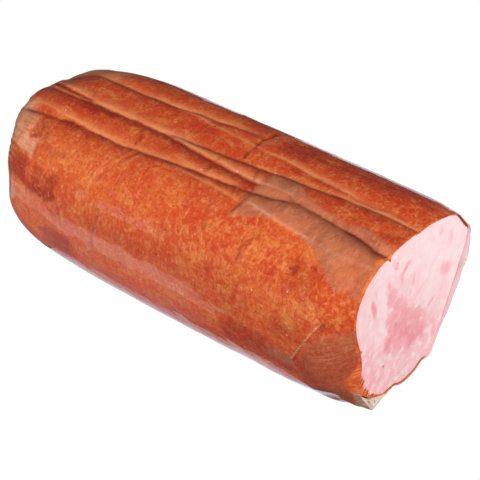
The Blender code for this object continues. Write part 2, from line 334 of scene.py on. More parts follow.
# Creases that run round the log: the same, but their way is (angle, distance)
CROSS_CREASES = (
    (0.9, 0, 0.9, 0.7, 1.2, 6, (54, 110.5), (62, 109.4), (69, 110.2), (77, 108.9), (84, 108.7),
     (90, 107.4)),
    (0.3, 0, 0.7, 0.5, 0.5, 4, (91, 118.5), (98, 117), (105, 116), (112, 115.5)),
    (0.3, 0, 0.75, 0.5, 0.5, 4, (92, 95), (100, 92), (110, 89)),
    (0.3, 0, 0.75, 0.5, 0.5, 4, (99.5, 168.5), (107, 163), (117, 161)),
    (0.2, 0, 0.35, 0.6, 0.6, 4, (100, 146), (114, 145)),
    (0.2, 0, 0.5, 0.5, 0.5, 4, (87, 209.5), (97, 207)),
    (0.2, 0, 0.4, 0.7, 0.7, 4, (72, 161), (81, 161)),
    (0.2, 0, 0.4, 0.7, 0.7, 4, (68, 137), (81, 137)),
    (0.5, 0, 0.75, 0.8, 0.7, 4, (111, 84), (120, 85.4), (127, 86.2), (131, 88)),
    (0.2, 0, 0.25, 0.5, 0.4, 5, (131, 88), (134, 90), (139, 95), (146, 103)),
    (0.3, 0.3, 0.45, 0.6, 0.5, 4, (124, 102), (130, 99), (135, 97), (141, 95.5)),
    (0.4, 0, 0.45, 0.6, 0.6, 6, (117, 155), (126, 158.5), (135, 163.5), (144, 167.5)),
    (-0.3, 0.45, 0, 0.6, 0.6, 6, (118, 157.5), (126, 160.5), (135, 166), (144, 169.5)),
    (0.5, 0.3, 0.6, 0.8, 0.8, 6, (156, 160), (165, 161.5), (174, 164), (184, 167.5)),
    (0.3, 0, 0.55, 0.5, 0.5, 5, (150, 196), (160, 193), (168, 188), (174, 187)),
    (0.4, 0, 0.6, 0.5, 0.5, 5, (120, 219), (128, 216.5), (136, 213.5), (146, 211)),
    (0.3, 0, 0.5, 0.5, 0.5, 5, (126, 217), (128.5, 213), (130, 209)),
    (-0.3, 1.4, 0, 0.5, 0.4, 5, (160, 15), (170, 21), (180, 26.8), (190, 32)),
    (-0.2, 0.6, 0, 0.8, 0.7, 4, (190, 32), (197, 29.5), (203, 25)),
    (-0.2, 0.75, 0, 0.7, 0.5, 4, (132, 168), (138, 169), (144, 170), (151, 171)),
    (-0.2, 0.7, 0, 0.7, 0.5, 4, (120, 153), (126, 155.5), (130, 158)),
    (-0.1, 0.8, 0, 0.7, 0.5, 4, (166, 185), (170, 186), (175, 186)),
    (0.2, 0, 0.6, 0.4, 0.4, 4, (133, 65), (137, 68), (141, 71), (146, 69)),
    (0.2, 0, 0.5, 0.4, 0.4, 4, (136, 72), (140, 71), (149, 70)),
    (0.5, 0, 0.5, 0.8, 0.6, 6, (160, 12.5), (166, 17.5), (173, 22.5), (181, 26.6), (191, 30.6)),
)

# A crease whose painted highlight is brighter than this has it evenly all along; how wide the painted
# dark line of shade in a crease is on its far and near side, the painted shade beside it, and the
# gathered folds (mm, degrees)
BRIGHT_LIGHT = 1.2
DARK_FAR = 0.6
DARK_NEAR = 1.5
VALLEY = 6.5
TOOTH_SPACING = 4.2

# The upper and lower edges of the film that stands off by the cut, and the upper edge of the brown film
# under it: distance, angle
FILM_TOP = (
    (86, 90.5), (66, 90), (62, 95), (58, 97), (50, 98.5), (40, 99.5), (30, 101), (24, 100), (17, 100.5),
    (10, 103), (2, 107),
)
FILM_FOOT = (
    (2, 147), (6, 145), (18, 139), (22, 134), (32, 131), (36, 127), (43, 124), (53, 123), (64, 122),
    (70, 124), (81, 129), (90, 134),
)
BROWN_TOP = ((-8, 159), (8, 159), (14, 161), (19, 165), (24, 171), (28, 180), (40, 200))

# Patches: distance from and to (mm), angle from and to (degrees), softness and strength. Film that
# stands off the meat, with ragged and with smoother edges, painted shade in the folds, brown film, and
# redder meat under the casing
FILM_PATCHES = (
    (212, 228, 136, 146, 1.5, 1), (230, 251, 114, 140, 4, 0.95), (221, 240, 123, 144, 2.5, 0.7),
    (204, 250, 50, 68, 5, 0.6),
)
SMOOTH_FILM = ((101, 109, 50, 74, 2.5, 0.55), (114, 144, 117, 119, 1, 0.5), (30, 48, 186, 197, 2, 0.85))
SHADY_PATCHES = ((64, 86, 90, 104, 1.5, 0.35), (-9, 24, 124, 146, 4, 0.2))
BROWN_PATCHES = ((226, 250, 91, 106, 4, 0.5), (216, 250, 58, 74, 5, 0.6))
RED_PATCHES = (
    (191, 210, 150, 165.5, 1.3, 0.75), (193, 212, 159, 166, 1, 1.1), (214, 232, 149, 163, 2, 0.9),
    (184, 210, 100, 107, 1.5, 1.4), (206, 228, 104, 112, 2.5, 0.45), (186, 208, 120, 126, 1.5, 1),
    (205, 225, 125, 137, 3, 0.4), (79, 100, 56, 72, 3, 0.95), (3, 12, 96, 103, 2.5, 0.7),
    (14, 46, 86, 91, 1.5, 0.7), (8, 92, 46, 60, 4, 0.95), (20, 84, 58, 68, 4, 0.45),
    (45, 58, 91, 97, 2, 0.5), (182, 204, 186, 202, 3, 0.8), (22, 78, 183, 204, 5, 0.75),
    (190, 206, 136, 140, 1.5, 0.5), (112, 124, 62, 68, 2, 0.4), (222, 238, 66, 76, 3, 0.5),
    (142, 196, 45, 53, 2, 0.8), (108, 142, 48, 58, 3, 0.6), (22, 40, 134, 152, 3, 0.5),
    (88, 124, 104, 109, 1.5, 0.5), (128, 172, 162, 171, 2, 0.35), (25, 45, 166, 180, 3, 0.45),
    (96, 112, 159, 170, 3, 0.3), (60, 126, 156, 182, 8, 0.25), (134, 150, 76, 84, 3, 0.35),
    (205, 226, 75, 84, 3, 0.35), (230, 245, 146, 158, 3, 0.5),
)

# Small dark marks under the casing: distance, angle, half length along and round (mm), strength
MARKS = (
    (37.5, 140, 2.6, 1.6, 0.8), (33, 143, 1.4, 1, 0.5), (29, 135.5, 1.6, 0.8, 0.6),
    (13, 161, 2.4, 1.4, 0.75), (8, 158, 1.2, 1, 0.5), (24, 150, 1, 0.8, 0.4), (69, 146, 0.6, 3, 0.5),
    (66.5, 141, 0.6, 2, 0.4), (120, 163, 1.2, 0.8, 0.5), (86, 158, 1, 0.8, 0.45), (148, 128, 1.3, 0.7, 0.4),
    (193, 170, 1, 0.9, 0.5), (214, 129.5, 0.8, 1.8, 0.8), (211, 132, 1.8, 0.6, 0.8),
    (217, 134, 1.5, 0.7, 0.7), (219.5, 128.5, 1.5, 1, 0.7), (56, 88, 1.2, 1, 0.5), (31, 97, 1.5, 1, 0.45),
    (99, 81, 1.5, 1, 0.4), (120, 86, 1.2, 1, 0.4), (176, 84, 1.4, 1, 0.4),
)

# How far the brighter, burnt skin reaches from the cut: angle, mm
BURNT_LENGTHS = (
    (0, 0.1), (55, 0.1), (62, 0.5), (75, 0.7), (82, 0.3), (95, 0.3), (112, 0.4), (116, 1), (119, 2.6),
    (123, 3), (126, 0.8), (130, 0.9), (143, 0.7), (147, 0.2), (158, 0.3), (164, 0.4), (172, 0.5),
    (180, 0.9), (187, 1.3), (190, 0.7), (195, 0.9), (199, 1.5), (203, 3), (206, 5), (210, 6), (216, 5.4),
    (219, 4), (221, 2.3), (223, 0.1), (250, 0.1), (360, 0.1),
)


def smoked_skin(chart):
    """What shows on the skin: how far it is pressed in (mm), and the strength of each tint, painted
    highlights and shade among them.
    """
    wandering = chart.wandering(14, 1.6, 3).wandering(4.5, 1.3, 11)
    loose = wandering.wandering(6, 2.6, 91)
    wavering = chart.wandering(9, 0.5, 71).wandering(3, 0.3, 81)
    strong = np.clip(1 + 0.55 * chart.speckle(20, 3, 51), 0.3, 1.5)
    by_the_cut = chart.patch(-9, 42, 79, 90, 4)
    pressed = pale_and_highlight = dark = red = shaded = 0
    for lines, across in ((PLEATS, False), (CROSS_CREASES, True)):
        for press, light, shade, far, near, fade, *route in lines:
            even = chart.line(route, far, near, fade, across)
            pressed = pressed + press * even
            # A painted highlight along the crest, with the paler stretched film there
            if light > BRIGHT_LIGHT:
                pale_and_highlight = np.maximum(pale_and_highlight, light * even)
            elif light:
                wavy = wavering.line(route, far, near, fade, across)
                pale_and_highlight = np.maximum(pale_and_highlight, np.minimum(light * strong * wavy, 1))
            # A thin painted line of shade in the crease
            if shade:
                beyond = DARK_FAR if across else DARK_NEAR
                depth = 1.3 * shade if across else shade * (1 - 0.5 * by_the_cut)
                dark = np.maximum(dark, depth * wavering.line(route, DARK_FAR, beyond, fade, across, 1.1))
            # Painted shade in the valley on the near side of a pleat, also as a redder tint
            if shade and not across:
                valley = wavering.line(route, 0.5 * DARK_FAR, VALLEY, fade, across, 1.2)
                valley = valley * (1 - 0.5 * eased(205, 225, chart.distance))
                shaded = np.maximum(shaded, shade * valley)
                red = np.maximum(red, 0.75 * shade * strong * valley)

    ragged = 0.9 * chart.speckle(2.4, 2, 61)
    for far, angle, half_along, half_round, strength in MARKS:
        off = np.hypot((loose.distance - far) / half_along, (loose.angle - angle) * ROUND_MM / half_round)
        mark = strength * eased(1.6, 0.3, off + ragged)
        dark = np.maximum(dark, 0.5 * mark)
        red = np.maximum(red, 1.3 * mark)

    # Film that stands off the meat, paler and browner: by the cut, at the far end, and by the creases
    softer = 1 + 1.2 * eased(66, 60, chart.distance)
    film = eased(-1.5 * softer, 2 * softer, wandering.angle - through(FILM_TOP, wandering.distance))
    to_foot = through(FILM_FOOT, wandering.distance) - 0.5 * (wandering.angle + loose.angle)
    film = film * eased(-1.5, 2.5, to_foot)
    film *= 1 - eased(84.5, 87.5, wavering.distance)
    film = loose.patched(film, FILM_PATCHES)
    film = film * (1 - 0.9 * loose.patch(204, 222, 126, 135, 1.5))
    film = wandering.patched(film, SMOOTH_FILM)
    film *= 1 - 0.12 * loose.patch(-9, 18, 119, 150, 5)
    # Painted shade in two folds
    shaded = wandering.patched(shaded, SHADY_PATCHES)
    near_film = film * eased(100, 90, chart.distance)
    pale_and_highlight = pale_and_highlight * (1 - 0.7 * near_film * eased(1.15, 0.8, pale_and_highlight))
    # Brown film low down by the cut, and in the folds at the far end
    brown = wandering.patch(-8, 26, 164, 232, 6)
    brown = brown * eased(-3, 14, wandering.angle - through(BROWN_TOP, chart.distance))
    brown = wandering.patched(brown, BROWN_PATCHES)
    red = loose.patched(red, RED_PATCHES)
    # The casing's gathered folds at the far end, with painted highlights on them and redder meat between
    # them
    teeth = 0.5 + 0.5 * np.sin(2 * np.pi * wandering.angle / TOOTH_SPACING)
    gathered = wandering.patch(229, 250, 134, 158)
    pale_and_highlight = np.maximum(pale_and_highlight, 0.85 * gathered * teeth)
    red = np.maximum(red, 0.7 * gathered * (1 - teeth))
    pressed = pressed + 0.35 * gathered * (1 - teeth)
    # Brighter smoke by the cut, with a jagged edge of it along the rim
    orange = wandering.patch(-8, 22, 144, 163, 3)
    length = np.maximum(through(BURNT_LENGTHS, chart.angle), 0.1)
    burnt = np.clip(1 - np.maximum(chart.distance, 0) / (2 * length), 0, 1)
    burnt *= eased(0.1, 0.3, length)
    # The tongue of clear film under the near edge
    clear = eased(4.5, 1, wandering.distance) * wandering.patch(-9, 5, 219, 250)
    return dict(pressed=pressed, pale_and_highlight=pale_and_highlight, dark=dark, film=film, brown=brown, red=red, orange=orange,
                burnt=burnt, clear=clear, shaded=shaded)


# Meshes


def placed(name, data):
    """A new object in the scene."""
    made = bpy.data.objects.new(name, data)
    bpy.context.scene.collection.objects.link(made)
    return made


def net(name, rows, facts):
    """A mesh from rows of points that go round, closed at both ends, with facts for each point."""
    count, columns = rows.shape[:2]
    index = np.arange(count * columns).reshape(count, columns)
    here, there = index[:-1], index[1:]
    quads = np.stack([here, np.roll(here, -1, 1), np.roll(there, -1, 1), there], axis=-1)
    faces = quads.reshape(-1, 4).tolist()
    for ring, middle, turn in ((index[0], index.size, -1), (index[-1], index.size + 1, 1)):
        sides = zip(ring.tolist(), np.roll(ring, -1).tolist())
        faces += [(middle, *side[::turn]) for side in sides]
    middles = [rows[0].mean(axis=0), rows[-1].mean(axis=0)]
    mesh = bpy.data.meshes.new(name)
    mesh.from_pydata([*rows.reshape(-1, 3).tolist(), *middles], [], faces)
    for fact, values in facts.items():
        layer = mesh.attributes.new(fact, "FLOAT", "POINT")
        layer.data.foreach_set("value", [*values.ravel().tolist(), values[-1].mean(), values[-1].mean()])
    mesh.shade_smooth()
    mesh.validate()
    return placed(name, mesh)


def make_skin(angle):
    """The skin and the casing over it, as one thin shell with its open edge round the cut."""
    degrees = np.degrees(angle) % 360
    side = side_rows(np.linspace(0, 1, BODY_ROWS), angle)
    end = end_rows(np.linspace(0, 1, CAP_ROWS + 1)[1:-1], angle)
    rows = np.concatenate([side, end])
    normal = outward(rows)
    chart = Chart(-rows[..., 0] / MM, np.broadcast_to(degrees, rows.shape[:2]), rows)
    facts = smoked_skin(chart)
    pleating = 0.5 * np.cos(11 * angle + 1.4 * np.sin(3 * angle)) + 0.25 * np.cos(29 * angle + 1)
    pleating = pleating + 0.16 * np.cos(63 * angle + 2 * np.sin(5 * angle)) - 0.35
    pressed = facts.pop("pressed") * eased(262, 236, chart.distance)
    pressed = pressed - eased(236, 254, chart.distance) * pleating
    pressed = pressed + 0.3 * chart.speckle(34, 2, 7) + 0.16 * chart.speckle(11, 3, 21)
    pressed = pressed + 0.016 * chart.speckle(4, 3, 31) - 0.3 * facts["film"]
    pressed = chart.dented(pressed, DENTS) * eased(-47, -40, rows[..., 2] / MM)
    pressed = chart.dented(pressed, LOW_DENTS)
    rows = rows - normal * (pressed * MM)[..., None]
    radial = points(0, np.cos(angle), np.sin(angle))
    tongue = np.sin(np.pi / 2 * ridge(angle, PINCH_MIDDLE, TONGUE_HALF_SPAN)) ** 2
    blend = RIM_BLEND + (TONGUE_BLEND - RIM_BLEND) * tongue
    stands = through(RIM_STANDS, degrees) * np.exp(-(chart.distance / blend) ** 2) * MM
    rows = rows + radial * stands[..., None]

    # The edge that stands out past the cut, and the film's thickness turned in behind it
    out = through(LIP_REACH, degrees) * MM
    hollow = through(TONGUE_HOLLOWS, degrees) * MM
    for often, seed in ((9, 3), (31, 8)):
        out += 0.2 * MM * np.array([noise.noise(Vector((a * often, seed, 0))) for a in angle])
    lip = []
    inner_lip = []
    for share in np.arange(LIP_ROWS, 0, -1) / LIP_ROWS:
        lean = TONGUE_LEAN * tongue * share ** 1.5
        lip.append(rows[0] + points(out * share, 0, 0) + radial * lean[:, None])
        inset = FILM + hollow * (1 - share)
        inner_lip.append(lip[-1] - radial * inset[:, None])
    edge = lip[0] - radial * 0.5 * FILM + points(EDGE_ROUNDING, 0, 0)
    distance = chart.distance[INNER_ROWS]
    depth = FILM + (INNER_DEPTH - FILM) * eased(0, 12, distance)
    depth = depth + hollow * eased(PINCH_LENGTH / MM, 0, distance)
    inner_side = rows[INNER_ROWS] - normal[INNER_ROWS] * depth[..., None]
    shell = np.concatenate([inner_side[::-1], inner_lip[::-1], edge[None], lip, rows])
    for fact, values in facts.items():
        around_lip = np.repeat(values[:1], 2 * LIP_ROWS + 1, axis=0)
        facts[fact] = np.concatenate([values[INNER_ROWS][::-1], around_lip, values])

    def marked(first, last):
        chosen = np.zeros(shell.shape[:2])
        chosen[first:last] = 1
        return chosen

    inner = len(inner_side) + LIP_ROWS + 1
    outermost = marked(inner - LIP_ROWS // 2 - 1, inner)
    around = np.broadcast_to(degrees, shell.shape[:2])
    torn = eased(219, 224, around) * eased(256, 250, around)
    facts.update(
        inside=marked(0, inner), edging=marked(inner - 1, inner + 1), out=-shell[..., 0],
        frayed=np.maximum(torn, outermost * ridge(angle, 2, 7) ** 0.3), round=around * ROUND_MM * MM,
        top=eased(44, 66, around) * eased(132, 106, around),
        low=eased(180, 198, around) * eased(350, 320, around),
        near_rim=np.maximum(eased(19, 24, around) * eased(225, 220, around),
                            eased(249, 253, around) * eased(294, 290, around)))
    return net("smoked_skin", shell + shift, facts), rows, normal


# Darker pieces of muscle in the cut: across and up from the log's middle (mm), half length and half
# width (mm), the way they lie (degrees from across, anticlockwise) and how dark they are
MUSCLES = (
    (-16.5, 28, 5.5, 1.7, 110, 0.75), (-3.4, 33, 5.5, 1.6, 35, 0.9), (-12, 39, 4.5, 1.8, 120, 0.5),
    (-30, 21.5, 7.5, 1.7, 105, 1.1), (-29, 31, 4, 1.2, 112, 0.5), (34, 10.5, 5, 4, 150, 0.7),
    (35, 12, 2, 1.2, 120, 1.1), (22, -4, 5, 1.3, 25, 0.6), (26.5, -27, 3.5, 2, 90, 0.8),
    (4.4, 20, 3.5, 1.3, 80, 0.7), (2.5, 14.5, 3, 1.3, 60, 0.6), (-6, 27, 4, 1.4, 100, 0.5),
    (10, 10, 7, 1.5, 30, 0.4), (27, 38, 3, 2, 90, 0.45), (37, 30, 5, 2, 100, 0.45),
    (20, 37.5, 3, 1.5, 90, 0.35), (1, -24, 7, 2, 165, 0.6), (-19, -27, 3.5, 1.8, 80, 0.55),
    (-20, -12, 4, 2, 60, 0.5), (8, -27, 3, 2, 0, 0.4), (-1, -33, 3, 1.5, 20, 0.4),
    (20, -14, 3, 1.4, 70, 0.5),
)
MUSCLE_OUTLINE = (
    (-19.5, 27.5), (-18.6, 10), (-18, -2.2), (-19.5, -10.5), (-12, -15.5), (-2.4, -19.5), (9, -22.5),
    (17.5, -24), (19, -14), (15.5, -2), (8, 4), (3, 10), (-2, 16), (-7, 22), (-13, 26),
)


def depth_inside(outline, across, up):
    """How deep each place lies inside an outline; negative outside it."""
    nearest = np.full(across.shape, 1e9)
    inside = np.zeros(across.shape, dtype=bool)
    for (y0, z0), (y1, z1) in zip(outline, outline[1:] + outline[:1]):
        t = ((across - y0) * (y1 - y0) + (up - z0) * (z1 - z0)) / ((y1 - y0) ** 2 + (z1 - z0) ** 2)
        t = np.clip(t, 0, 1)
        nearest = np.minimum(nearest, np.hypot(across - y0 - t * (y1 - y0), up - z0 - t * (z1 - z0)))
        crossed = (z0 > up) != (z1 > up)
        inside ^= crossed & (across < y0 + (up - z0) * (y1 - y0) / (z1 - z0))
    return np.where(inside, nearest, -nearest)


def muscle_map(across, up, places):
    """How much of the cut at each place is darker muscle, 0 to about 1."""
    chart = Chart(across, up, places)
    torn = chart.speckle(9, 4, 13)
    depth = depth_inside(MUSCLE_OUTLINE, across, up)
    wisps = chart.speckle(5, 4, 23)
    loose = eased(-20, -13, across)
    depth = depth + (0.6 + 3.6 * loose) * torn
    strength = 0.5 * eased(-0.8 - 3.4 * loose, 1.4 + 4 * loose, depth)
    deep = eased(0, 8, depth + 4 * (1 - loose) + 2 * torn)
    strength = strength + 0.3 * deep * eased(18, -12, across + 0.5 * up)
    strength = strength - 0.35 * eased(0, 0.6, wisps)
    strength = strength + 0.36 * eased(12, -26, up + 8 * torn) + 0.2 * eased(-14, -36, across)
    for y, z, half_length, half_width, way, dark in MUSCLES:
        turn = math.radians(way)
        lengthwise = (across - y) * math.cos(turn) + (up - z) * math.sin(turn)
        crosswise = (up - z) * math.cos(turn) - (across - y) * math.sin(turn)
        off = np.hypot(lengthwise / half_length, crosswise / half_width) + 0.35 * torn
        strength = np.maximum(strength, 0.9 * dark * eased(1.75, 0, off))
    return strength


# How wide the smoked rim of the cut is: angle, mm
RIM_WIDTHS = (
    (0, 0), (18, 0), (20, 0.4), (23, 1.2), (28, 1.2), (35, 0.9), (42, 0.8), (50, 0.4), (60, 0.2),
    (82, 0.25), (84, 0.8), (88, 0.2), (111, 0.3), (113, 1.2), (115, 3), (117, 0.6), (125, 0.3), (130, 0.8),
    (136, 0.7), (143, 0.3), (150, 0.3), (156, 0.6), (165, 0.3), (186, 0.4), (188, 1.2), (189, 2.2),
    (191, 0.8), (196, 0.4), (205, 0.6), (209, 1.6), (212, 2.8), (215, 3.6), (217, 5.2), (219, 4),
    (222, 4.8), (226, 4), (230, 2.8), (236, 2), (242, 1.3), (249, 0.7), (262, 0.6), (275, 0.5), (291, 0.5),
    (293, 0), (360, 0),
)


def make_meat(angle, skin_rows, skin_normal):
    """The meat up to its cut, which closes the log."""
    degrees = np.degrees(angle) % 360
    radial = points(0, np.cos(angle), np.sin(angle))
    short = through(TONGUE_HOLLOWS, degrees) * MM
    rim = skin_rows[0] - radial * (FILM + short)[:, None]
    middle = np.array([0, CUT_CENTRE_Y, CUT_CENTRE_Z])
    shares = 1 - np.linspace(1, 0, FACE_RINGS)[1:-1] ** FACE_CROWDING
    face = np.array([middle + (rim - middle) * share for share in shares] + [rim])
    chart = Chart(face[..., 1] / MM, face[..., 2] / MM, face)
    uneven = 0.22 * chart.speckle(22, 2, 5) + 0.07 * chart.speckle(5, 2, 9)
    from_rim = np.linalg.norm(face - rim, axis=-1) / MM
    free_rim = eased(1.2, 0.6, through(LIP_REACH, degrees))
    rounded = 0.35 * np.exp(-(from_rim / 0.7) ** 2) * free_rim
    sunk = 0.15 * free_rim * eased(8, 1, from_rim)
    face[..., 0] = (uneven * eased(0, 3, from_rim) - 0.05 - sunk - rounded) * MM
    hull = skin_rows[HULL_ROWS]
    hollow = eased(PINCH_LENGTH, 0, -hull[..., 0]) * short
    hull = hull - skin_normal[HULL_ROWS] * HULL_DEPTH - radial * hollow[..., None]
    rows = np.concatenate([face, hull])
    inward = np.concatenate([from_rim, np.zeros(hull.shape[:2])])
    around = np.broadcast_to(degrees, rows.shape[:2])
    width = np.maximum(through(RIM_WIDTHS, around), 0.02)
    smoked = np.clip(1 - inward / (2 * width), 0, 1) * eased(0.05, 0.25, width)
    facts = dict(smoked=smoked, inward=inward * MM, round=around * ROUND_MM * MM,
                 muscle=muscle_map(rows[..., 1] / MM, rows[..., 2] / MM, rows))
    return net("ham_meat", rows + shift, facts)


# Finishes


def colour(red, green, blue):
    """A colour from its everyday 0 to 255 values."""
    return tuple((value / 255 / 12.92 if value <= 10 else ((value / 255 + 0.055) / 1.055) ** 2.4)
                 for value in (red, green, blue)) + (1,)


class Tone:
    """A number or colour that changes over a surface; arithmetic on numbers adds Math nodes."""

    def __init__(self, finish, socket):
        self.finish, self.socket = finish, socket

    def math(self, operation, *values):
        return self.finish.node("ShaderNodeMath", {"operation": operation}, dict(enumerate(values)))

    def __add__(self, other):
        return self.math("ADD", self, other)

    def __sub__(self, other):
        return self.math("SUBTRACT", self, other)

    def __rsub__(self, other):
        return self.math("SUBTRACT", other, self)

    def __mul__(self, other):
        return self.math("MULTIPLY", self, other)

    __radd__ = __add__
    __rmul__ = __mul__

    def between(self, low, high):
        """0 at low and below, 1 at high and above, eased."""
        return self.finish.node("ShaderNodeMapRange", {"interpolation_type": "SMOOTHSTEP"},
                                {"Value": self, "From Min": low, "From Max": high})

    def size(self):
        return self.math("ABSOLUTE", self)

    def at_most(self, other):
        return self.math("MINIMUM", self, other)

    def or_more(self, other):
        return self.math("MAXIMUM", self, other)


class Finish:
    """A material and the few ways in which its nodes are made."""

    def __init__(self, name, **fixed):
        self.material = bpy.data.materials.new(name)
        self.material.use_nodes = True
        self.tree = self.material.node_tree
        self.surface = self.tree.nodes["Principled BSDF"]
        for socket, value in fixed.items():
            self.surface.inputs[socket.replace("_", " ")].default_value = value

    def node(self, kind, settings=None, sockets=None, output=0):
        made = self.tree.nodes.new(kind)
        for setting, value in (settings or {}).items():
            setattr(made, setting, value)
        for socket, value in (sockets or {}).items():
            if isinstance(value, Tone):
                self.tree.links.new(value.socket, made.inputs[socket])
            else:
                made.inputs[socket].default_value = value
        return Tone(self, made.outputs[output])

    def facts(self, *names):
        """What the mesh says of each place, by name."""
        return [self.node("ShaderNodeAttribute", {"attribute_name": name}, output="Fac") for name in names]

    def place(self):
        return self.node("ShaderNodeTexCoord", output="Object")

    def stretched(self, place, turn, scale=(1, 1, 1)):
        return self.node("ShaderNodeMapping", {}, {"Vector": place, "Rotation": turn, "Scale": scale})

    def clouds(self, place, size, detail=3, rough=0.55, warp=0):
        """A cloudy pattern between 0 and 1 round 0.5; size in mm."""
        return self.node("ShaderNodeTexNoise", {}, {
            "Vector": place, "Scale": 1 / (size * MM), "Detail": detail, "Roughness": rough,
            "Distortion": warp})

    def dots(self, place, size):
        """Distance to the nearest of many scattered dots, in dot spacings; size in mm."""
        return self.node("ShaderNodeTexVoronoi", {}, {"Vector": place, "Scale": 1 / (size * MM)})

    def mix(self, first, second, share):
        """The second tone over the first by a share; a plain colour is given as 0 to 255 values."""
        first, second = (tone if isinstance(tone, Tone) else colour(*tone) for tone in (first, second))
        return self.node("ShaderNodeMix", {"data_type": "RGBA"}, {0: share, 6: first, 7: second}, output=2)

    def tinted(self, tone, *tints):
        """A tone with tints over it one by one, each with its share."""
        for tint, share in tints:
            tone = self.mix(tone, tint, share)
        return tone

    def bumped(self, height, distance):
        return self.node("ShaderNodeBump", {}, {"Height": height, "Distance": distance})

    def feed(self, **tones):
        for socket, tone in tones.items():
            self.tree.links.new(tone.socket, self.surface.inputs[socket.replace("_", " ")])


